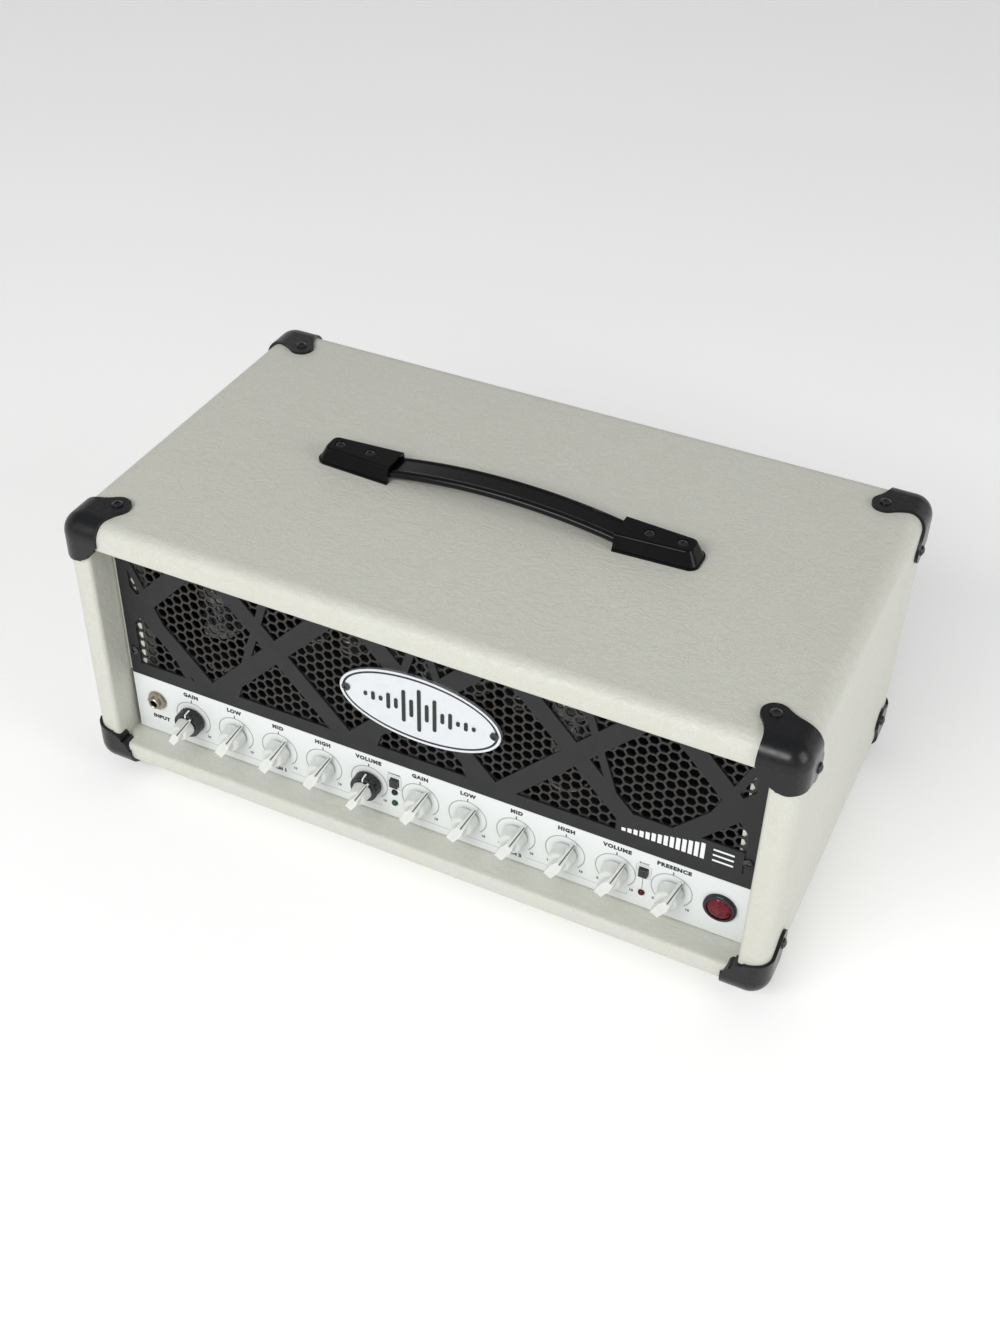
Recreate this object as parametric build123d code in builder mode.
from build123d import *
import os
from math import asin, cos, radians, sin

# Guitar amplifier head: covered plywood cabinet, recessed grille and control panel, steel chassis, valves.
# Millimetres. Origin under the middle of the feet, +X right, +Z up, and the front faces -Y.
os.makedirs("parts", exist_ok=True)

# --- driving dimensions ---------------------------------------------------------------------------------
WIDTH = 552.0            # over the covered cabinet
DEPTH = 316.0
BODY_H = 229.0
FOOT_H = 16.0
VINYL = 1.0
PLY = 19.0
EDGE_R = 13.0            # round-over of the outside edges
INNER_R = 4.0            # round-over of the edges around the openings
RECESS = 24.0            # panel and grille stand this far behind the cabinet's front
STEEL = 1.5

TOP_Z = FOOT_H + BODY_H
WALL = PLY + 2 * VINYL
OPEN_X = WIDTH / 2 - WALL
FLOOR_Z = FOOT_H + WALL
CEILING_Z = TOP_Z - WALL
FRONT_Y = -DEPTH / 2
REAR_Y = DEPTH / 2
MID_Z = FOOT_H + BODY_H / 2
LINING_FRONT = 58.0      # how far the covering wraps inside, from the front and from the rear
LINING_REAR = 34.0

PANEL_Y = FRONT_Y + RECESS
PANEL_T = 2.0
PANEL_X = 251.3
PANEL_LOW = FOOT_H + 21.8
PANEL_HIGH = FOOT_H + 77.1
CHASSIS_X = 250.0
CHASSIS_FRONT = PANEL_Y + PANEL_T
CHASSIS_REAR = 134.0
CHASSIS_LOW = FLOOR_Z + 0.3
CHASSIS_HIGH = PANEL_HIGH - 0.6

CORNER_T = 2.6
EAR = 30.0               # ear screw, from both of the edges that it stands between
EAR_R = 10.0

BADGE_Z = FOOT_H + 140.0
KNOB_Z = FOOT_H + 49.6
KNOB_PITCH = 38.8
FIRST_GAIN_X = -199.2
SECOND_GAIN_X = -1.2
PRESENCE_X = 196.4
POINTER_TURN = 30.0      # the pointers stand this far clockwise of twelve o'clock
KNOB_GAP = 1.8
SHAFT_R = 3.0
BUSH_R = 3.5
RUN_FIT = 0.05


def front(y):
    """Sketch plane across the object at a depth: local x is +X, local y is +Z, and it faces -Y."""
    return Plane.XZ.offset(-y)


def finish(part, name):
    """Name a finished piece and write it."""
    part.label = name
    export_step(part, f"parts/{name}.step")


def pan_screw(seat, head_r, head_h, shank_r, shank_l):
    """Cross-recess screw: the head stands on the seat plane, and the shank goes in against its normal."""
    side = Plane(origin=seat.origin, x_dir=seat.x_dir, z_dir=-seat.y_dir)
    rim = head_h * 0.4
    rise = head_h - rim
    dome_r = (head_r**2 + rise**2) / (2 * rise)
    half_turn = asin(head_r / dome_r) / 2
    dome_mid = (dome_r * sin(half_turn), head_h - dome_r + dome_r * cos(half_turn))
    with BuildSketch(side) as half:
        with BuildLine():
            Polyline((0, head_h), (0, -shank_l), (shank_r, -shank_l), (shank_r, 0), (head_r, 0), (head_r, rim))
            ThreePointArc((head_r, rim), dome_mid, (0, head_h))
        make_face()
    revolve(half.sketch, axis=Axis(seat.origin, seat.z_dir))
    with BuildSketch(seat.offset(head_h)) as cross:
        Rectangle(head_r * 1.15, head_r * 0.24)
        Rectangle(head_r * 0.24, head_r * 1.15)
    extrude(cross.sketch, amount=-head_h * 0.6, mode=Mode.SUBTRACT)


def opening_edges(part, half_x, low_z, high_z, half_y):
    """The eight long edges where an opening through the cabinet meets its front and rear faces."""
    found = []
    for edge in part.edges():
        c = edge.center()
        if abs(abs(c.Y) - half_y) > 0.01:
            continue
        upright = abs(abs(c.X) - half_x) < 0.01
        level = abs(c.X) < 0.01 and min(abs(c.Z - low_z), abs(c.Z - high_z)) < 0.01
        if upright or level:
            found.append(edge)
    return found


# --- cabinet --------------------------------------------------------------------------------------------
with BuildPart() as covered_cabinet:
    with Locations((0, 0, MID_Z)):
        Box(WIDTH, DEPTH, BODY_H)
    fillet(covered_cabinet.edges(), EDGE_R)
    with Locations((0, 0, MID_Z)):
        Box(2 * OPEN_X, DEPTH + 2, CEILING_Z - FLOOR_Z, mode=Mode.SUBTRACT)
    fillet(opening_edges(covered_cabinet.part, OPEN_X, FLOOR_Z, CEILING_Z, DEPTH / 2), INNER_R)

with BuildPart() as plywood:
    with Locations((0, 0, MID_Z)):
        Box(WIDTH - 2 * VINYL, DEPTH - 2 * VINYL, BODY_H - 2 * VINYL)
    fillet(plywood.edges(), EDGE_R - VINYL)
    with Locations((0, 0, MID_Z)):
        Box(2 * (OPEN_X + VINYL), DEPTH + 2, CEILING_Z - FLOOR_Z + 2 * VINYL, mode=Mode.SUBTRACT)
    fillet(
        opening_edges(plywood.part, OPEN_X + VINYL, FLOOR_Z - VINYL, CEILING_Z + VINYL, DEPTH / 2 - VINYL),
        INNER_R - VINYL,
    )

EAR_X = WIDTH / 2 - EAR
EAR_Y = DEPTH / 2 - EAR
SCREW_R = 1.7
PILOT_R = 1.75
FACE_SCREW_L = 14.0
HANDLE_SCREWS = [-135.6, -110.7, 110.7, 135.6]
HANDLE_PILOT = 18.0      # depth of their pilot holes in the top board
FOOT_X = 216.0
FOOT_Y = 103.0
BOLT_X = 240.0
BOLT_Y = 80.0
BOLT_R = 2.5

# seat planes of the sixteen corner screws, on the plastic ears
flat_seats = []
side_seats = []
for sx in (-1, 1):
    for sy in (-1, 1):
        for up in (-1, 1):
            face_z = MID_Z + up * (BODY_H / 2 + CORNER_T)
            flat_seats.append(Plane(origin=(sx * EAR_X, sy * EAR_Y, face_z), z_dir=(0, 0, up)))
            side_z = MID_Z + up * (BODY_H / 2 - EAR)
            side_x = sx * (WIDTH / 2 + CORNER_T)
            side_seats.append(Plane(origin=(side_x, sy * EAR_Y, side_z), x_dir=(0, 1, 0), z_dir=(sx, 0, 0)))


def pilot_holes(seats, radius, length):
    """Drill the holes of a set of screws, from their seats inwards."""
    for seat in seats:
        with BuildSketch(seat) as hole:
            Circle(radius)
        extrude(hole.sketch, amount=-length, mode=Mode.SUBTRACT)


with BuildPart() as cabinet_top:
    add(plywood.part)
    split(bisect_by=Plane.XY.offset(CEILING_Z + VINYL), keep=Keep.TOP)
    pilot_holes([s for s in flat_seats if s.origin.Z > MID_Z], PILOT_R, FACE_SCREW_L + 1)
    with Locations([(x, 0, TOP_Z) for x in HANDLE_SCREWS]):
        Hole(PILOT_R, HANDLE_PILOT)
finish(cabinet_top.part, "cabinet_top")

with BuildPart() as cabinet_bottom:
    add(plywood.part)
    split(bisect_by=Plane.XY.offset(FLOOR_Z - VINYL), keep=Keep.BOTTOM)
    pilot_holes([s for s in flat_seats if s.origin.Z < MID_Z], PILOT_R, FACE_SCREW_L + 1)
    with Locations([(x, y, FOOT_H + WALL) for x in (-BOLT_X, BOLT_X) for y in (-BOLT_Y, BOLT_Y)]):
        Hole(BOLT_R + 0.1, 40)
    with Locations([(x, y, FOOT_H) for x in (-FOOT_X, FOOT_X) for y in (-FOOT_Y, FOOT_Y)]):
        Cylinder(PILOT_R, 26, mode=Mode.SUBTRACT)
finish(cabinet_bottom.part, "cabinet_bottom")

for name, sign in (("cabinet_side_left", -1), ("cabinet_side_right", 1)):
    with BuildPart() as side_board:
        add(plywood.part)
        with Locations((sign * (OPEN_X + VINYL), 0, MID_Z)):
            Box(WALL * 2, DEPTH, CEILING_Z - FLOOR_Z + 2 * VINYL, mode=Mode.INTERSECT)
        pilot_holes([s for s in side_seats if s.origin.X * sign > 0], PILOT_R, FACE_SCREW_L + 1)
    finish(side_board.part, name)

with BuildPart() as vinyl_covering:
    add(covered_cabinet.part)
    add(plywood.part, mode=Mode.SUBTRACT)
    with Locations((0, (LINING_FRONT - LINING_REAR) / 2, MID_Z)):
        Box(
            2 * (OPEN_X + VINYL),
            DEPTH - LINING_FRONT - LINING_REAR,
            CEILING_Z - FLOOR_Z + 2 * VINYL,
            mode=Mode.SUBTRACT,
        )
    pilot_holes(flat_seats + side_seats, PILOT_R, FACE_SCREW_L)
    with Locations([(x, 0, TOP_Z) for x in HANDLE_SCREWS]):
        Cylinder(PILOT_R, 6, mode=Mode.SUBTRACT)
    with Locations([(x, y, FOOT_H) for x in (-BOLT_X, BOLT_X) for y in (-BOLT_Y, BOLT_Y)]):
        Cylinder(BOLT_R + 0.1, 6, mode=Mode.SUBTRACT)
    with Locations([(x, y, FOOT_H) for x in (-FOOT_X, FOOT_X) for y in (-FOOT_Y, FOOT_Y)]):
        Cylinder(PILOT_R, 6, mode=Mode.SUBTRACT)
finish(vinyl_covering.part, "vinyl_covering")

# --- corner protectors ----------------------------------------------------------------------------------
LIP_DEPTH = 9.0
SKIRT = EDGE_R + 3.0     # depth of the region that each lobe may cover, behind its own face
OUT = CORNER_T + 1.0

with BuildPart() as corner_skin:
    with Locations((0, 0, MID_Z)):
        Box(WIDTH + 2 * CORNER_T, DEPTH + 2 * CORNER_T, BODY_H + 2 * CORNER_T)
    fillet(corner_skin.edges(), EDGE_R + CORNER_T)
    with Locations((0, 0, MID_Z)):
        Box(2 * (OPEN_X - CORNER_T), DEPTH + 20, CEILING_Z - FLOOR_Z - 2 * CORNER_T, mode=Mode.SUBTRACT)
    add(covered_cabinet.part, mode=Mode.SUBTRACT)

LOBE = 31.0
ear_in = (EAR + EAR_R * cos(radians(35)), EAR - EAR_R * sin(radians(35)))
ear_far = (EAR + EAR_R * cos(radians(45)), EAR + EAR_R * sin(radians(45)))
ear_out = (ear_in[1], ear_in[0])
top_face = Plane(origin=(WIDTH / 2, FRONT_Y, TOP_Z + OUT), x_dir=(0, 1, 0), z_dir=(0, 0, 1))
side_face = Plane(origin=(WIDTH / 2 + OUT, FRONT_Y, TOP_Z), x_dir=(0, 0, -1), z_dir=(1, 0, 0))
front_face = Plane(origin=(WIDTH / 2, FRONT_Y - OUT, TOP_Z), x_dir=(-1, 0, 0), z_dir=(0, -1, 0))


def eared_lobe(face):
    """Lobe with a screw ear: two straight edges at the corner, and concave sides that run into the ear."""
    with BuildSketch(face) as lobe:
        with BuildLine():
            Polyline((-OUT, LOBE), (-OUT, -OUT), (LOBE, -OUT), (LOBE, 4))
            TangentArc((LOBE, 4), ear_in, tangent=(0, 1))
            ThreePointArc(ear_in, ear_far, ear_out)
            TangentArc((4, LOBE), ear_out, tangent=(1, 0))
            Line((4, LOBE), (-OUT, LOBE))
        make_face()
    extrude(lobe.sketch, amount=-SKIRT - OUT)


with BuildPart() as one_corner:
    eared_lobe(top_face)
    eared_lobe(side_face)
    with BuildSketch(front_face):
        with BuildLine():
            Polyline((-OUT, LOBE + 1), (-OUT, -OUT), (LOBE, -OUT), (LOBE, 8))
            ThreePointArc((LOBE, 8), (28.6, 19.4), (22, 27))
            ThreePointArc((22, 27), (14, 31), (4, LOBE + 1))
            Line((4, LOBE + 1), (-OUT, LOBE + 1))
        make_face()
    extrude(amount=-LIP_DEPTH - OUT)
    add(corner_skin.part, mode=Mode.INTERSECT)

with BuildPart() as corner_protectors:
    add(one_corner.part)
    mirror(about=Plane.YZ)
    mirror(about=Plane.XZ)
    mirror(about=Plane.XY.offset(MID_Z))
    pilot_holes([s.offset(1) for s in flat_seats + side_seats], SCREW_R + 0.3, 6)
finish(corner_protectors.part, "corner_protectors")

with BuildPart() as corner_screws:
    for seat in flat_seats + side_seats:
        pan_screw(seat, 4.0, 2.4, SCREW_R, FACE_SCREW_L)
finish(corner_screws.part, "corner_screws")

# --- feet and chassis bolts -----------------------------------------------------------------------------
FOOT_R = 20.0
foot_spots = [(x, y) for x in (-FOOT_X, FOOT_X) for y in (-FOOT_Y, FOOT_Y)]
bolt_spots = [(x, y) for x in (-BOLT_X, BOLT_X) for y in (-BOLT_Y, BOLT_Y)]

with BuildPart() as rubber_feet:
    with BuildSketch(Plane.XY.offset(FOOT_H)):
        with Locations(foot_spots):
            Circle(FOOT_R)
    extrude(amount=-FOOT_H, taper=8)
    fillet(rubber_feet.edges().group_by(Axis.Z)[0], 1.5)
    with BuildSketch():
        with Locations(foot_spots):
            Circle(6)
    extrude(amount=FOOT_H - 5, mode=Mode.SUBTRACT)
    with BuildSketch():
        with Locations(foot_spots):
            Circle(SCREW_R + 0.2)
    extrude(amount=FOOT_H, mode=Mode.SUBTRACT)
finish(rubber_feet.part, "rubber_feet")

with BuildPart() as foot_screws:
    for x, y in foot_spots:
        pan_screw(Plane(origin=(x, y, FOOT_H - 5), z_dir=(0, 0, -1)), 4.4, 2.8, SCREW_R, 16)
finish(foot_screws.part, "foot_screws")

with BuildPart() as chassis_bolts:
    for x, y in bolt_spots:
        pan_screw(Plane(origin=(x, y, FOOT_H), z_dir=(0, 0, -1)), 5.5, 3.2, BOLT_R, WALL + 7)
finish(chassis_bolts.part, "chassis_bolts")

# --- strap handle ---------------------------------------------------------------------------------------
CAP_IN = 89.0            # mouth of an end cap, and its outer end
CAP_OUT = 150.0
CAP_H = 13.0
ARCH_END = 94.5          # the piped strap stops just inside the caps, and a narrower core runs on to the screws
ARCH_LOW = 5.4           # strap's middle height at those ends, and at its crown
ARCH_HIGH = 14.4
STRAP_T = 4.8
PIPING_R = 3.2
PIPING_Y = 8.8
CORE_IN = 91.0
CORE_OUT = 128.0
CORE_W = 16.0
CORE_LOW = 3.2
CORE_T = 3.6

with BuildPart() as handle_strap:
    with BuildLine():
        arch = ThreePointArc(
            (-ARCH_END, 0, TOP_Z + ARCH_LOW), (0, 0, TOP_Z + ARCH_HIGH), (ARCH_END, 0, TOP_Z + ARCH_LOW)
        )
    with BuildSketch(Plane(origin=arch @ 0, x_dir=(0, 1, 0), z_dir=arch % 0)):
        Rectangle(2 * PIPING_Y, STRAP_T)
        with Locations((-PIPING_Y, 0), (PIPING_Y, 0)):
            Circle(PIPING_R)
    sweep()
    with BuildSketch(Plane.XY.offset(TOP_Z + CORE_LOW)):
        with Locations([(sx * (CORE_IN + CORE_OUT) / 2, 0) for sx in (-1, 1)]):
            RectangleRounded(CORE_OUT - CORE_IN, CORE_W, 3)
    extrude(amount=CORE_T)
    with BuildSketch(Plane.XY.offset(TOP_Z)):
        with Locations([(x, 0) for x in HANDLE_SCREWS]):
            Circle(3.2)
    extrude(amount=20, mode=Mode.SUBTRACT)
finish(handle_strap.part, "handle_strap")


def cap_outline(height, mouth_half, end_half, end_x, corner):
    """Plan of the right-hand end cap at a height: wide at the mouth, narrower and rounded at its end."""
    with BuildSketch(Plane.XY.offset(height)) as plan:
        Polygon((CAP_IN, -mouth_half), (end_x, -end_half), (end_x, end_half), (CAP_IN, mouth_half), align=None)
        fillet(plan.vertices().group_by(Axis.X)[-1], corner)
    return plan.sketch


with BuildPart() as handle_caps:
    loft([cap_outline(TOP_Z + 2, 14.8, 11.6, CAP_OUT, 7), cap_outline(TOP_Z + CAP_H, 12.2, 8.2, 144.5, 5)])
    fillet(handle_caps.faces().sort_by(Axis.Z)[-1].edges().sort_by(Axis.X)[1:], 1.6)
    extrude(cap_outline(TOP_Z, 15.6, 12.4, CAP_OUT + 1.0, 8), amount=2)
    with BuildSketch(Plane(origin=(CAP_IN - 1, 0, TOP_Z), x_dir=(0, 1, 0), z_dir=(1, 0, 0))):
        Polygon((-12.4, 0), (12.4, 0), (12.4, 7.6), (9.6, 10.9), (-9.6, 10.9), (-12.4, 7.6), align=None)
    extrude(amount=ARCH_END + 2 - CAP_IN, mode=Mode.SUBTRACT)
    with BuildSketch(Plane.XY.offset(TOP_Z)):
        with Locations(((ARCH_END + CORE_OUT) / 2, 0)):
            Rectangle(CORE_OUT - ARCH_END + 1, CORE_W + 1)
    extrude(amount=CORE_LOW + CORE_T + 0.5, mode=Mode.SUBTRACT)
    with Locations([(x, 0, TOP_Z + CAP_H - 0.4) for x in HANDLE_SCREWS[2:]]):
        CounterBoreHole(SCREW_R + 0.2, 4.2, 1.0)
    mirror(about=Plane.YZ)
finish(handle_caps.part, "handle_caps")

with BuildPart() as handle_screws:
    cap_seat = CAP_H - 1.4
    for x in HANDLE_SCREWS:
        seat = Plane(origin=(x, 0, TOP_Z + cap_seat), z_dir=(0, 0, 1))
        pan_screw(seat, 4.0, 2.0, SCREW_R, cap_seat + HANDLE_PILOT - 0.6)
finish(handle_screws.part, "handle_screws")

# --- grille ---------------------------------------------------------------------------------------------
GRILLE_LOW = PANEL_HIGH + 0.3
GRILLE_HIGH = CEILING_Z - 0.5
GRILLE_MID = (GRILLE_LOW + GRILLE_HIGH) / 2
PLATE_T = 1.5
MESH_Y = PANEL_Y + PLATE_T + 0.05
MESH_T = 1.2
MESH_X = 243.5
CLEAT_Y = MESH_Y + MESH_T + 0.05
CLEAT_X = 238.5
CLEAT_T = 14.0
HEX_PITCH = 8.6
HEX_FLATS = 6.8
REAR_PLATE_Y = 131.5
GRILLE_SCREW_X = 246.5
GRILLE_SCREW_Z = (FOOT_H + 101.0, FOOT_H + 193.0)
BADGE_A = 63.5
BADGE_B = 30.0
BADGE_T = 2.4
BADGE_SCREW_X = 58.5

grille_spots = [(x, z) for x in (-GRILLE_SCREW_X, GRILLE_SCREW_X) for z in GRILLE_SCREW_Z]

with BuildPart() as grille_cleats:
    for near, far in ((CLEAT_Y, CLEAT_Y + CLEAT_T), (REAR_PLATE_Y - CLEAT_T, REAR_PLATE_Y)):
        with BuildSketch(front(far)):
            with Locations((-(CLEAT_X + OPEN_X) / 2, GRILLE_MID), ((CLEAT_X + OPEN_X) / 2, GRILLE_MID)):
                Rectangle(OPEN_X - CLEAT_X, GRILLE_HIGH - GRILLE_LOW)
        extrude(amount=far - near)
    with BuildSketch(front(REAR_PLATE_Y)):
        with Locations(grille_spots):
            Circle(PILOT_R)
    extrude(amount=REAR_PLATE_Y - CLEAT_Y, mode=Mode.SUBTRACT)
finish(grille_cleats.part, "grille_cleats")

# the plate's windows are cut between two mirrored sets of slanting bands and a few narrow uprights
BAND_STEP = 118.0
BAND_W = 15.0
BAND_ANGLE = 47.0
with BuildPart() as grille_plate:
    with BuildSketch(front(PANEL_Y + PLATE_T)):
        with Locations((0, GRILLE_MID)):
            Rectangle(2 * PANEL_X, GRILLE_HIGH - GRILLE_LOW)
        with Locations((1, (FOOT_H + 89.5 + GRILLE_HIGH - 6) / 2)):
            Rectangle(486, GRILLE_HIGH - 6 - FOOT_H - 89.5, mode=Mode.SUBTRACT)
        for turn in (-1, 1):
            with Locations([(BAND_STEP * i, GRILLE_MID + 4) for i in range(-2, 3)]):
                Rectangle(260, BAND_W, rotation=turn * BAND_ANGLE)
            with Locations([(turn * x, GRILLE_MID) for x in (22.0, 140.0)]):
                Rectangle(6, 200, rotation=turn * 18)
            with Locations((turn * 222, GRILLE_MID)):
                Rectangle(6, 200, rotation=-turn * 24)
        with Locations((0, BADGE_Z)):
            Rectangle(2 * BADGE_SCREW_X + 10, 12)
        with Locations((197.0, FOOT_H + 98.5)):
            Rectangle(92, 22)
        with Locations((0, GRILLE_MID)):
            Rectangle(2 * PANEL_X, GRILLE_HIGH - GRILLE_LOW, mode=Mode.INTERSECT)
        with Locations(grille_spots + [(-BADGE_SCREW_X, BADGE_Z), (BADGE_SCREW_X, BADGE_Z)]):
            Circle(PILOT_R, mode=Mode.SUBTRACT)
    extrude(amount=PLATE_T)
finish(grille_plate.part, "grille_plate")

HEX_COLUMN = HEX_PITCH * cos(radians(30))
with BuildPart() as grille_mesh:
    with BuildSketch(front(MESH_Y + MESH_T)):
        with Locations((0, GRILLE_MID)):
            Rectangle(2 * MESH_X, GRILLE_HIGH - GRILLE_LOW - 1)
            with GridLocations(2 * HEX_COLUMN, HEX_PITCH, 32, 14):
                RegularPolygon(HEX_FLATS / 2, 6, major_radius=False, mode=Mode.SUBTRACT)
            with GridLocations(2 * HEX_COLUMN, HEX_PITCH, 33, 13):
                RegularPolygon(HEX_FLATS / 2, 6, major_radius=False, mode=Mode.SUBTRACT)
    extrude(amount=MESH_T)
finish(grille_mesh.part, "grille_mesh")

with BuildPart() as grille_screws:
    for x, z in grille_spots:
        pan_screw(Plane(origin=(x, PANEL_Y, z), x_dir=(1, 0, 0), z_dir=(0, -1, 0)), 3.8, 2.2, SCREW_R, 14)
        rear_seat = Plane(origin=(x, REAR_PLATE_Y + PLATE_T, z), x_dir=(1, 0, 0), z_dir=(0, 1, 0))
        pan_screw(rear_seat, 3.8, 2.2, SCREW_R, 14)
finish(grille_screws.part, "grille_screws")

SLOT_L = 52.0
with BuildPart() as rear_grille:
    with BuildSketch(front(REAR_PLATE_Y + PLATE_T)):
        with Locations((0, GRILLE_MID)):
            Rectangle(2 * PANEL_X, GRILLE_HIGH - GRILLE_LOW)
            with GridLocations(12.0, SLOT_L + 6, 38, 2):
                SlotOverall(SLOT_L, 5.5, rotation=90, mode=Mode.SUBTRACT)
        with Locations(grille_spots):
            Circle(PILOT_R, mode=Mode.SUBTRACT)
    extrude(amount=PLATE_T)
finish(rear_grille.part, "rear_grille")

# --- badge ----------------------------------------------------------------------------------------------
with BuildPart() as badge:
    with BuildSketch(front(PANEL_Y)):
        with Locations((0, BADGE_Z)):
            Ellipse(BADGE_A, BADGE_B)
    extrude(amount=BADGE_T)
    with BuildSketch(front(PANEL_Y - BADGE_T)):
        with Locations((0, BADGE_Z)):
            Ellipse(BADGE_A - 2.0, BADGE_B - 2.0)
            Ellipse(BADGE_A - 3.8, BADGE_B - 3.8, mode=Mode.SUBTRACT)
    extrude(amount=-0.5, mode=Mode.SUBTRACT)
    with BuildSketch(front(PANEL_Y)):
        with Locations((-BADGE_SCREW_X, BADGE_Z), (BADGE_SCREW_X, BADGE_Z)):
            Circle(PILOT_R)
    extrude(amount=BADGE_T, mode=Mode.SUBTRACT)
finish(badge.part, "badge")

with BuildPart() as badge_screws:
    for x in (-BADGE_SCREW_X, BADGE_SCREW_X):
        badge_seat = Plane(origin=(x, PANEL_Y - BADGE_T, BADGE_Z), x_dir=(1, 0, 0), z_dir=(0, -1, 0))
        pan_screw(badge_seat, 3.4, 1.8, SCREW_R, BADGE_T + PLATE_T)
finish(badge_screws.part, "badge_screws")

# --- control panel --------------------------------------------------------------------------------------
JACK_X = -231.2
JACK_Z = FOOT_H + 56.0
JACK_R = 4.7
PLUG_R = 3.2
BUTTON_Z = FOOT_H + 58.0
BUTTON_W = 6.6
BUTTON_H = 7.6
CHANNEL_X = -22.5
BOOST_X = 174.8
LAMP_X = 232.3
LAMP_Z = FOOT_H + 50.5
LAMP_BODY_R = 8.0
LED_R = 2.5
LED_LOW = FOOT_H + 37.0
LED_HIGH = FOOT_H + 48.0
led_spots = [(CHANNEL_X, LED_HIGH), (CHANNEL_X, LED_LOW), (BOOST_X, LED_LOW)]
button_spots = [(CHANNEL_X, BUTTON_Z), (BOOST_X, BUTTON_Z)]
TONES = ("gain", "low", "mid", "high", "volume")
KNOBS = {f"knob_{tone}_1": FIRST_GAIN_X + KNOB_PITCH * i for i, tone in enumerate(TONES)}
KNOBS |= {f"knob_{tone}_2": SECOND_GAIN_X + KNOB_PITCH * i for i, tone in enumerate(TONES)}
KNOBS["knob_presence"] = PRESENCE_X
STACKED = ("knob_gain_1", "knob_volume_1")
knob_spots = [(x, KNOB_Z) for x in KNOBS.values()]
RESONANCE_X = -150.0
REAR_Z = FOOT_H + 49.6


def panel_holes(clear, mode):
    """Holes that the controls need, in a sketch on the panel's plane; clear widens them for the steel."""
    with Locations((JACK_X, JACK_Z)):
        Circle(JACK_R + 0.1 + clear, mode=mode)
    with Locations(knob_spots):
        Circle(BUSH_R + 0.1 + clear, mode=mode)
    with Locations(button_spots):
        Rectangle(BUTTON_W + 0.7 + 2 * clear, BUTTON_H + 0.7 + 2 * clear, mode=mode)
    with Locations(led_spots):
        Circle(LED_R + 0.1 + clear, mode=mode)
    with Locations((LAMP_X, LAMP_Z)):
        Circle(LAMP_BODY_R + 0.1 + clear, mode=mode)


with BuildPart() as control_panel:
    with BuildSketch(front(PANEL_Y + PANEL_T)):
        with Locations((0, (PANEL_LOW + PANEL_HIGH) / 2)):
            Rectangle(2 * PANEL_X, PANEL_HIGH - PANEL_LOW)
        panel_holes(0, Mode.SUBTRACT)
    extrude(amount=PANEL_T)
finish(control_panel.part, "control_panel")


def rod(x, z, y_from, y_to, radius, mode=Mode.ADD):
    """Round bar or bore that runs along Y between two depths."""
    with BuildSketch(front(y_to)) as disc:
        with Locations((x, z)):
            Circle(radius)
    extrude(disc.sketch, amount=y_to - y_from, mode=mode)


with BuildPart() as input_jack:
    rod(JACK_X, JACK_Z, PANEL_Y - 6.5, CHASSIS_FRONT + STEEL, JACK_R)
    rod(JACK_X, JACK_Z, PANEL_Y - 0.8, PANEL_Y, 8.2)
    with BuildSketch(front(PANEL_Y - 0.8)):
        with Locations((JACK_X, JACK_Z)):
            RegularPolygon(6.6, 6, major_radius=False)
    extrude(amount=2.8)
    with Locations((JACK_X, CHASSIS_FRONT + STEEL + 12, JACK_Z)):
        Box(17, 24, 17)
    rod(JACK_X, JACK_Z, PANEL_Y - 6.5, PANEL_Y + 20, PLUG_R, Mode.SUBTRACT)
    chamfer(input_jack.faces().sort_by(Axis.Y)[0].edges(), 0.5)
finish(input_jack.part, "input_jack")

POT_R = 8.2
POT_BACK = CHASSIS_FRONT + STEEL + 9.0
with BuildPart() as potentiometers:
    for x, z in knob_spots:
        rod(x, z, PANEL_Y - 3.0, CHASSIS_FRONT + STEEL, BUSH_R)
        rod(x, z, CHASSIS_FRONT + STEEL, POT_BACK, POT_R)
    with BuildSketch(front(PANEL_Y)):
        with Locations(knob_spots):
            RegularPolygon(5.2, 6, major_radius=False)
    extrude(amount=2.2)
    for x, z in knob_spots:
        rod(x, z, PANEL_Y - 3.0, POT_BACK - 3, SHAFT_R + RUN_FIT, Mode.SUBTRACT)
    rod(RESONANCE_X, REAR_Z, CHASSIS_REAR - STEEL - 9, CHASSIS_REAR - STEEL, POT_R)
    rod(RESONANCE_X, REAR_Z, CHASSIS_REAR - STEEL, CHASSIS_REAR + 3, BUSH_R)
    rod(RESONANCE_X, REAR_Z, CHASSIS_REAR - STEEL - 6, CHASSIS_REAR + 3, SHAFT_R + RUN_FIT, Mode.SUBTRACT)
finish(potentiometers.part, "potentiometers")


def height_over(base, shape):
    """How far a shape's centre stands above a base plane."""
    return (shape.center() - base.origin).dot(base.z_dir)


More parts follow.
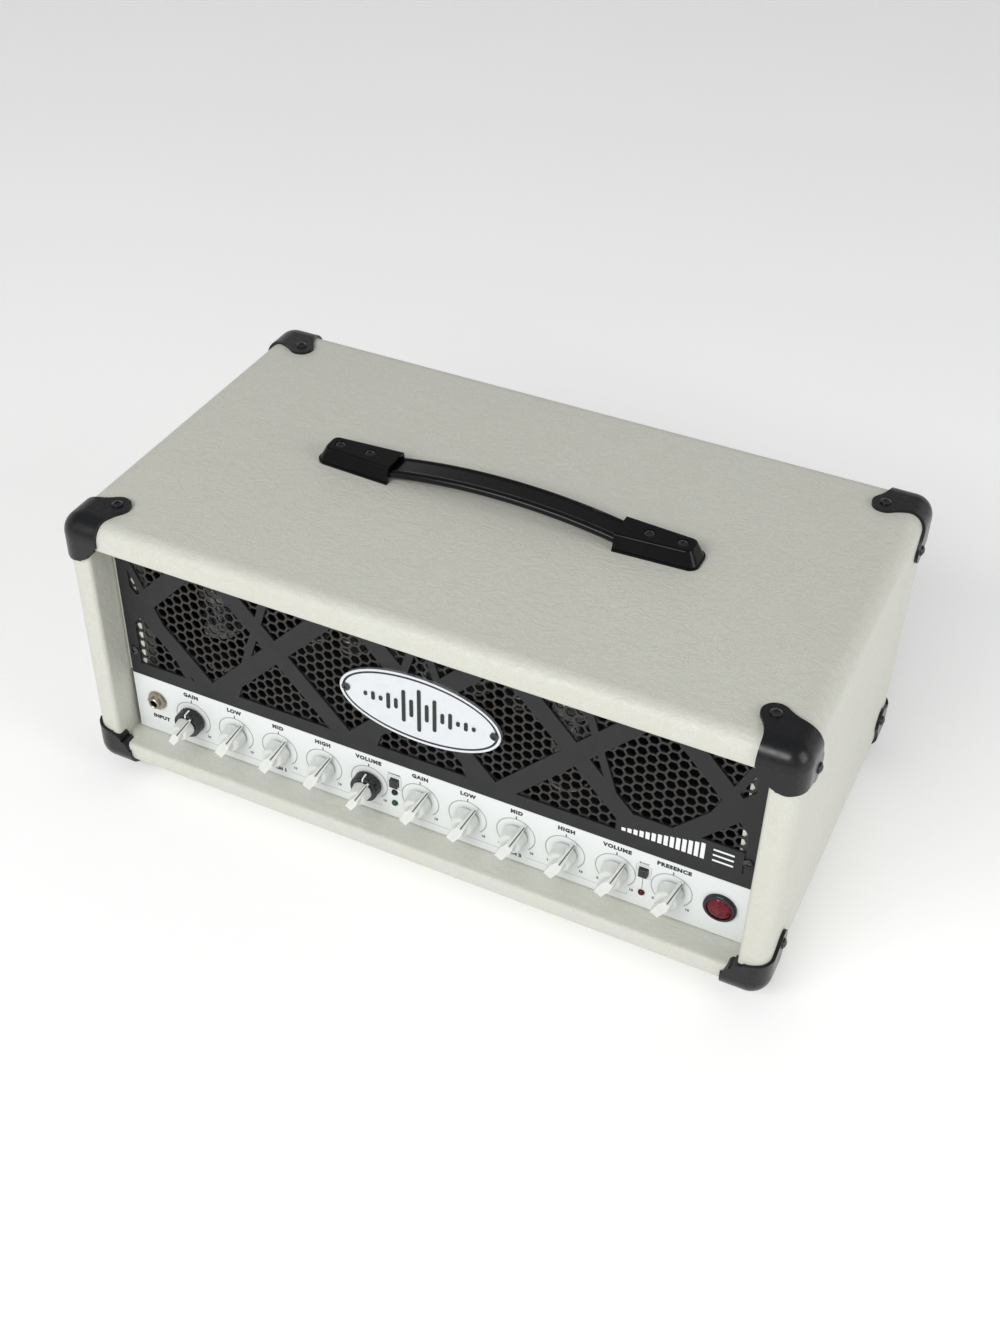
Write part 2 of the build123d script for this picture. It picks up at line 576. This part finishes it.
def chicken_head(base, body_r, tip_r, tail_r, height):
    """Pointer knob on a base plane whose local x is the pointer's direction: a round body under a fin."""
    with BuildPart() as fin:
        side = Plane(origin=base.origin, x_dir=base.x_dir, z_dir=-base.y_dir)
        crown_x = tip_r * 0.35
        with BuildSketch(side):
            with BuildLine():
                Polyline((-tail_r, height * 0.74), (-tail_r * 0.88, 0), (tip_r, 0), (tip_r, 1.4))
                Polyline((tip_r, 1.4), (crown_x, height), (-tail_r * 0.78, height), (-tail_r, height * 0.74))
            make_face()
        extrude(amount=body_r, both=True)
        tail_half = body_r * 0.34
        waist_half = body_r * 0.42
        with BuildSketch(base):
            with BuildLine():
                Polyline((-tail_r * 0.72, -tail_half), (0, -waist_half), (tip_r + 0.1, -0.6))
                Line((tip_r + 0.1, -0.6), (tip_r + 0.1, 0.6))
                Polyline((tip_r + 0.1, 0.6), (0, waist_half), (-tail_r * 0.72, tail_half))
                ThreePointArc((-tail_r * 0.72, tail_half), (-tail_r, 0), (-tail_r * 0.72, -tail_half))
            make_face()
        extrude(amount=height + 1, mode=Mode.INTERSECT)
        upper = fin.edges().filter_by(lambda e: 1.5 < height_over(base, e) < height - 0.01)
        crown = fin.edges().filter_by(lambda e: height_over(base, e) > height - 0.01)
        fillet(upper + crown.filter_by(GeomType.LINE), body_r * 0.05)
    with BuildPart() as knob:
        with BuildSketch(base):
            Circle(body_r)
        extrude(amount=height * 0.66, taper=8)
        fillet(knob.edges().filter_by(lambda e: height_over(base, e) > height * 0.65), body_r * 0.3)
        add(fin.part)
        with BuildSketch(base):
            Circle(body_r - 1.8)
        extrude(amount=3.2, mode=Mode.SUBTRACT)
    return knob.part


def knob_plane(x, height, turn):
    """Base plane of a front knob: local x is the way the pointer points, and local z comes out of the panel."""
    up = (sin(radians(turn)), 0, cos(radians(turn)))
    return Plane(origin=(x, PANEL_Y - height, KNOB_Z), x_dir=up, z_dir=(0, -1, 0))


RING_R = 11.3
RING_H = 8.4
RING_FLUTES = 24
STACK_H = KNOB_GAP + RING_H + 0.6
INNER_SHAFT_R = 2.0
for name, x in KNOBS.items():
    stacked = name in STACKED
    if stacked:
        moulding = chicken_head(knob_plane(x, STACK_H, POINTER_TURN), 7.8, 11.0, 9.6, 15.4)
    else:
        moulding = chicken_head(knob_plane(x, KNOB_GAP, POINTER_TURN), 9.8, 16.2, 13.8, 17.0)
    shaft_r = INNER_SHAFT_R if stacked else SHAFT_R
    socket_y = PANEL_Y - (STACK_H + 8 if stacked else 13)
    with BuildPart() as knob:
        add(moulding)
        rod(x, KNOB_Z, socket_y, PANEL_Y, shaft_r + 0.02, Mode.SUBTRACT)
        rod(x, KNOB_Z, socket_y, POT_BACK - 3.2, shaft_r)
    finish(knob.part, name)

for name in STACKED:
    x = KNOBS[name]
    with BuildPart() as ring:
        with BuildSketch(front(PANEL_Y - KNOB_GAP)):
            with Locations((x, KNOB_Z)):
                Circle(RING_R)
        extrude(amount=RING_H, taper=2)
        fillet(ring.faces().sort_by(Axis.Y)[0].edges(), 1.0)
        with BuildSketch(front(PANEL_Y)):
            with Locations((x, KNOB_Z)):
                with PolarLocations(RING_R + 0.3, RING_FLUTES):
                    Circle(0.9)
        extrude(amount=KNOB_GAP + RING_H, mode=Mode.SUBTRACT)
        rod(x, KNOB_Z, PANEL_Y - KNOB_GAP - 3.2, PANEL_Y, 8.6, Mode.SUBTRACT)
        rod(x, KNOB_Z, PANEL_Y - 9, POT_BACK - 3.2, SHAFT_R)
        rod(x, KNOB_Z, PANEL_Y - STACK_H, POT_BACK, INNER_SHAFT_R + RUN_FIT, Mode.SUBTRACT)
    finish(ring.part, name.replace("knob", "ring"))

BUTTON_OUT = 3.0
for name, x in (("channel_button", CHANNEL_X), ("boost_button", BOOST_X)):
    with BuildPart() as button:
        with Locations((x, PANEL_Y + (6 - BUTTON_OUT) / 2, BUTTON_Z)):
            Box(BUTTON_W, BUTTON_OUT + 6, BUTTON_H)
        fillet(button.faces().sort_by(Axis.Y)[0].edges(), 0.7)
        fillet(button.edges().filter_by(Axis.Y), 0.6)
        rod(x, BUTTON_Z, PANEL_Y + 6, PANEL_Y + 12, 1.8)
    finish(button.part, name)

with BuildPart() as indicator_leds:
    for x, z in led_spots:
        rod(x, z, PANEL_Y - 0.4, CHASSIS_FRONT + STEEL, LED_R)
        with Locations((x, PANEL_Y - 0.4, z)):
            Sphere(LED_R)
        rod(x, z, CHASSIS_FRONT + STEEL, CHASSIS_FRONT + STEEL + 4, LED_R + 0.5)
finish(indicator_leds.part, "indicator_leds")

LAMP_R = 12.2
JEWEL_R = 9.4
with BuildPart() as pilot_lamp_bezel:
    rod(LAMP_X, LAMP_Z, PANEL_Y - 3.2, PANEL_Y, LAMP_R)
    fillet(pilot_lamp_bezel.faces().sort_by(Axis.Y)[0].edges(), 1.4)
    rod(LAMP_X, LAMP_Z, PANEL_Y, CHASSIS_FRONT + STEEL + 10, LAMP_BODY_R)
    rod(LAMP_X, LAMP_Z, PANEL_Y - 3.2, PANEL_Y - 0.8, JEWEL_R + 0.1, Mode.SUBTRACT)
    rod(LAMP_X, LAMP_Z, PANEL_Y - 3.2, CHASSIS_FRONT + STEEL + 8, 6.5, Mode.SUBTRACT)
finish(pilot_lamp_bezel.part, "pilot_lamp_bezel")

with BuildPart() as pilot_lamp_jewel:
    rod(LAMP_X, LAMP_Z, PANEL_Y - 3.0, PANEL_Y - 0.8, JEWEL_R)
    with BuildSketch(front(PANEL_Y - 3.0)):
        with Locations((LAMP_X, LAMP_Z)):
            RegularPolygon(JEWEL_R - 0.3, 12)
    extrude(amount=2.4, taper=50)
finish(pilot_lamp_jewel.part, "pilot_lamp_jewel")

# --- chassis and what stands on it ----------------------------------------------------------------------
CHASSIS_D = CHASSIS_REAR - CHASSIS_FRONT
CHASSIS_MID_Y = (CHASSIS_FRONT + CHASSIS_REAR) / 2
FLANGE_W = 22.0
BOARD_Z = 52.0
BOARD_T = 1.6
POST_R = 3.5
POWER_SPOTS = [(-195.0, -88.0), (97.0, -88.0)]
PREAMP_SPOTS = [(-150.0 + 36.0 * i, -28.0) for i in range(7)]
OCTAL_R = 13.0
NOVAL_R = 9.4
IRON = {
    "power_transformer": (165.0, 66.0, 98.0, 80.0, 82.0),
    "output_transformer": (-160.0, 70.0, 82.0, 66.0, 68.0),
    "choke": (-30.0, 78.0, 58.0, 44.0, 48.0),
}
INLET_X = 212.0
ROCKER_XS = (150.0, 122.0)
ROCKER_NAMES = ("power_rocker", "standby_rocker")
SELECTOR_X = 5.0
JACK_XS = (78.0, 52.0, -42.0, -70.0, -98.0)
ROCKER_W = 10.0
ROCKER_REACH = 12.0      # pivot to the end of a rocker
FRAME_W = 14.0
FRAME_H = 30.0

with BuildPart() as chassis:
    with Locations((0, CHASSIS_MID_Y, (CHASSIS_LOW + CHASSIS_HIGH) / 2)):
        Box(2 * CHASSIS_X, CHASSIS_D, CHASSIS_HIGH - CHASSIS_LOW)
    with Locations((0, CHASSIS_MID_Y, (CHASSIS_LOW + CHASSIS_HIGH) / 2 - STEEL)):
        Box(
            2 * (CHASSIS_X - STEEL),
            CHASSIS_D - 2 * STEEL,
            CHASSIS_HIGH - CHASSIS_LOW,
            mode=Mode.SUBTRACT,
        )
    for sign in (-1, 1):
        with Locations((sign * (CHASSIS_X - FLANGE_W / 2 - STEEL / 2), CHASSIS_MID_Y, CHASSIS_LOW + STEEL / 2)):
            Box(FLANGE_W, CHASSIS_D - STEEL, STEEL)
    with BuildSketch(Plane.XY.offset(CHASSIS_LOW)):
        with Locations(bolt_spots):
            RegularPolygon(4.6, 6)
    extrude(amount=STEEL + 5)
    with Locations([(x, y, CHASSIS_LOW) for x, y in bolt_spots]):
        Cylinder(BOLT_R + RUN_FIT, 30, mode=Mode.SUBTRACT)
    with BuildSketch(Plane.XY.offset(BOARD_Z + BOARD_T)):
        with GridLocations(400, 140, 2, 2):
            Circle(POST_R)
    extrude(amount=CHASSIS_HIGH - STEEL / 2 - BOARD_Z - BOARD_T)
    with BuildSketch(front(CHASSIS_FRONT + STEEL + 1)):
        panel_holes(0.3, Mode.ADD)
    extrude(amount=STEEL + 2, mode=Mode.SUBTRACT)
    with BuildSketch(front(CHASSIS_REAR + 1)):
        with Locations((INLET_X, REAR_Z)):
            Rectangle(28.2, 38.2)
        with Locations([(x, REAR_Z) for x in ROCKER_XS]):
            Rectangle(FRAME_W - 1.8, FRAME_H - 1.8)
        with Locations([(x, REAR_Z) for x in JACK_XS]):
            Circle(6.1)
        with Locations((SELECTOR_X, REAR_Z), (RESONANCE_X, REAR_Z)):
            Circle(BUSH_R + 0.1)
    extrude(amount=STEEL + 2, mode=Mode.SUBTRACT)
    with BuildSketch(Plane.XY.offset(CHASSIS_HIGH + 1)):
        with Locations(POWER_SPOTS):
            Circle(OCTAL_R + 0.1)
        with Locations(PREAMP_SPOTS):
            Circle(NOVAL_R + 0.1)
    extrude(amount=-STEEL - 2, mode=Mode.SUBTRACT)
finish(chassis.part, "chassis")

with BuildPart() as circuit_board:
    with BuildSketch(Plane.XY.offset(BOARD_Z)):
        with Locations((0, -8)):
            Rectangle(440, 176)
    extrude(amount=BOARD_T)
finish(circuit_board.part, "circuit_board")

with BuildPart() as filter_capacitors:
    with BuildSketch(Plane.XY.offset(BOARD_Z + BOARD_T)):
        with Locations((90, 20)):
            with GridLocations(32, 0.1, 4, 1):
                Circle(12.5)
    extrude(amount=34)
    fillet(filter_capacitors.edges().group_by(Axis.Z)[-1], 1.5)
finish(filter_capacitors.part, "filter_capacitors")


def turned(spots, profile, mode=Mode.ADD):
    """Solids of revolution on upright axes through the spots; the profile is (radius, height) points."""
    for x, y in spots:
        section = Plane(origin=(x, y, 0), x_dir=(1, 0, 0), z_dir=(0, -1, 0))
        with BuildSketch(section) as half:
            with BuildLine():
                Polyline(*profile, close=True)
            make_face()
        revolve(half.sketch, axis=Axis((x, y, 0), (0, 0, 1)), mode=mode)


SEAT_Z = CHASSIS_HIGH + 2.2
with BuildPart() as valve_sockets:
    for spots, r in ((POWER_SPOTS, OCTAL_R), (PREAMP_SPOTS, NOVAL_R)):
        low = CHASSIS_HIGH - 12
        body = [(1.8, low), (r, low), (r, CHASSIS_HIGH), (r + 3, CHASSIS_HIGH)]
        turned(spots, body + [(r + 3, SEAT_Z), (1.8, SEAT_Z)])
finish(valve_sockets.part, "valve_sockets")

POWER_BASE_H = 20.0
with BuildPart() as power_valve_bases:
    top = SEAT_Z + POWER_BASE_H
    foot = [(0, SEAT_Z), (15.5, SEAT_Z), (16.2, SEAT_Z + 3)]
    turned(POWER_SPOTS, foot + [(16.2, top), (14, top + 1), (0, top + 1)])
finish(power_valve_bases.part, "power_valve_bases")


def bulb(spots, low, radius, height, wall):
    """Closed glass envelope with a domed top and a hollow inside."""
    for x, y in spots:
        section = Plane(origin=(x, y, low), x_dir=(1, 0, 0), z_dir=(0, -1, 0))
        inner = radius - wall
        shoulder = height - radius * 0.8
        with BuildSketch(section) as half:
            with BuildLine():
                Polyline((inner * 0.9, wall), (inner, wall), (inner, shoulder))
                ThreePointArc((inner, shoulder), (inner * 0.72, height - radius * 0.32), (0.9, height - wall))
                Line((0.9, height - wall), (0.9, height))
                ThreePointArc((0.9, height), (radius * 0.74, height - radius * 0.28), (radius, shoulder))
                Polyline((radius, shoulder), (radius, 0), (inner * 0.9, 0), (inner * 0.9, wall))
            make_face()
        revolve(half.sketch, axis=Axis((x, y, 0), (0, 0, 1)))
        with BuildSketch(Plane(origin=(x, y, low), z_dir=(0, 0, 1))) as stem:
            Circle(inner * 0.9)
        extrude(stem.sketch, amount=wall)
        with BuildSketch(Plane(origin=(x, y, low + height - wall), z_dir=(0, 0, 1))) as seal:
            Circle(0.9)
        extrude(seal.sketch, amount=wall)


with BuildPart() as power_valve_glass:
    bulb(POWER_SPOTS, SEAT_Z + POWER_BASE_H + 1, 17.5, 62.0, 1.0)
finish(power_valve_glass.part, "power_valve_glass")

with BuildPart() as preamp_valves:
    bulb(PREAMP_SPOTS, SEAT_Z, 10.4, 46.0, 0.9)
finish(preamp_valves.part, "preamp_valves")

with BuildPart() as valve_shields:
    top = SEAT_Z + 50
    can = [(11.0, SEAT_Z), (12.4, SEAT_Z), (12.4, SEAT_Z + 9), (11.7, SEAT_Z + 10), (11.7, top), (5, top)]
    turned(PREAMP_SPOTS, can + [(5, top - 0.8), (11.0, top - 0.8)])
finish(valve_shields.part, "valve_shields")

for name, (x, y, w, d, h) in IRON.items():
    with BuildPart() as transformer:
        with BuildSketch(Plane.XY.offset(CHASSIS_HIGH)):
            with Locations((x, y)):
                Rectangle(w, d * 0.34)
        extrude(amount=h)
        with BuildSketch(Plane.XY.offset(CHASSIS_HIGH)):
            with Locations((x, y)):
                RectangleRounded(w - 12, d, 6)
        extrude(amount=h - 6)
        fillet(transformer.edges().filter_by(GeomType.LINE).group_by(Axis.Z)[-1], 1.0)
        with BuildSketch(Plane.XY.offset(CHASSIS_HIGH)):
            with Locations((x, y)):
                Rectangle(w + 8, d * 0.34)
        extrude(amount=2.5)
    finish(transformer.part, name)

# --- rear connections -----------------------------------------------------------------------------------
INLET_CAVITY_Z = REAR_Z + 6
DRAWER_Z = REAR_Z - 12.5
INLET_T = 2.5
with BuildPart() as mains_inlet:
    with BuildSketch(front(CHASSIS_REAR + INLET_T)):
        with Locations((INLET_X, REAR_Z)):
            RectangleRounded(34, 44, 2)
    extrude(amount=INLET_T)
    with BuildSketch(front(CHASSIS_REAR)):
        with Locations((INLET_X, REAR_Z)):
            Rectangle(28, 38)
    extrude(amount=24)
    with BuildSketch(front(CHASSIS_REAR + INLET_T)):
        with Locations((INLET_X, INLET_CAVITY_Z)):
            Rectangle(24.5, 16.8)
    extrude(amount=17, mode=Mode.SUBTRACT)
    with BuildSketch(front(CHASSIS_REAR + INLET_T - 17)):
        with Locations((INLET_X - 7, INLET_CAVITY_Z - 2), (INLET_X + 7, INLET_CAVITY_Z - 2)):
            Rectangle(2, 4)
        with Locations((INLET_X, INLET_CAVITY_Z + 2)):
            Rectangle(2, 4)
    extrude(amount=-11.5)
    with BuildSketch(front(CHASSIS_REAR + INLET_T)):
        with Locations((INLET_X, DRAWER_Z)):
            Rectangle(22.6, 9.6)
    extrude(amount=22, mode=Mode.SUBTRACT)
finish(mains_inlet.part, "mains_inlet")

with BuildPart() as fuse_drawer:
    with BuildSketch(front(CHASSIS_REAR + INLET_T)):
        with Locations((INLET_X, DRAWER_Z)):
            Rectangle(22, 9)
    extrude(amount=20)
    with BuildSketch(front(CHASSIS_REAR + INLET_T + 1.2)):
        with Locations((INLET_X, DRAWER_Z + 3)):
            Rectangle(12, 1.6)
    extrude(amount=1.2)
finish(fuse_drawer.part, "fuse_drawer")

ROCKER_TILT = 10.0
with BuildPart() as switch_frames:
    with BuildSketch(front(CHASSIS_REAR + 1.6)):
        with Locations([(x, REAR_Z) for x in ROCKER_XS]):
            RectangleRounded(FRAME_W + 1.6, FRAME_H + 1.6, 1)
    extrude(amount=1.6)
    with BuildSketch(front(CHASSIS_REAR)):
        with Locations([(x, REAR_Z) for x in ROCKER_XS]):
            Rectangle(FRAME_W - 2, FRAME_H - 2)
    extrude(amount=24)
    with BuildSketch(front(CHASSIS_REAR + 1.6)):
        with Locations([(x, REAR_Z) for x in ROCKER_XS]):
            Rectangle(ROCKER_W + 0.8, 2 * ROCKER_REACH + 1.2)
    extrude(amount=14.6, mode=Mode.SUBTRACT)
finish(switch_frames.part, "switch_frames")

PIVOT_Y = CHASSIS_REAR - 1.0
for name, x in zip(ROCKER_NAMES, ROCKER_XS):
    with BuildPart() as rocker:
        tilt = radians(ROCKER_TILT)
        tilted = Plane(origin=(x, PIVOT_Y, REAR_Z), x_dir=(0, sin(tilt), cos(tilt)), z_dir=(1, 0, 0))
        with BuildSketch(tilted):
            Polygon((-11.3, -4.0), (0, -2.0), (11.3, -4.0), (11.6, 2.5), (-11.6, 2.5), align=None)
        extrude(amount=ROCKER_W / 2, both=True)
    finish(rocker.part, name)

SELECTOR_GAP = 1.0
with BuildPart() as impedance_selector:
    rod(SELECTOR_X, REAR_Z, CHASSIS_REAR + SELECTOR_GAP, CHASSIS_REAR + 9, 9.0)
    with BuildSketch(front(CHASSIS_REAR + 13)):
        with Locations((SELECTOR_X, REAR_Z + 1)):
            SlotOverall(24, 5, rotation=90)
    extrude(amount=12)
    rod(SELECTOR_X, REAR_Z, CHASSIS_REAR - 12, CHASSIS_REAR + SELECTOR_GAP, SHAFT_R)
finish(impedance_selector.part, "impedance_selector")

with BuildPart() as resonance_knob:
    rod(RESONANCE_X, REAR_Z, CHASSIS_REAR + 3.5, CHASSIS_REAR + 14, 8.0)
    fillet(resonance_knob.faces().sort_by(Axis.Y)[-1].edges(), 1.0)
    with BuildSketch(front(CHASSIS_REAR + 14.5)):
        with Locations((RESONANCE_X, REAR_Z)):
            with PolarLocations(8.4, 12):
                Circle(1.2)
    extrude(amount=9, mode=Mode.SUBTRACT)
    rod(RESONANCE_X, REAR_Z, CHASSIS_REAR - STEEL - 5.8, CHASSIS_REAR + 3.5, SHAFT_R)
finish(resonance_knob.part, "resonance_knob")

with BuildPart() as rear_jacks:
    for x in JACK_XS:
        rod(x, REAR_Z, CHASSIS_REAR - STEEL - 22, CHASSIS_REAR + 5, 6.0)
        with Locations((x, CHASSIS_REAR - STEEL - 12, REAR_Z)):
            Box(16, 24, 18)
    with BuildSketch(front(CHASSIS_REAR + 3)):
        with Locations([(x, REAR_Z) for x in JACK_XS]):
            RegularPolygon(8.2, 6, major_radius=False)
    extrude(amount=3)
    for x in JACK_XS:
        rod(x, REAR_Z, CHASSIS_REAR - STEEL - 18, CHASSIS_REAR + 5, PLUG_R, Mode.SUBTRACT)
finish(rear_jacks.part, "rear_jacks")
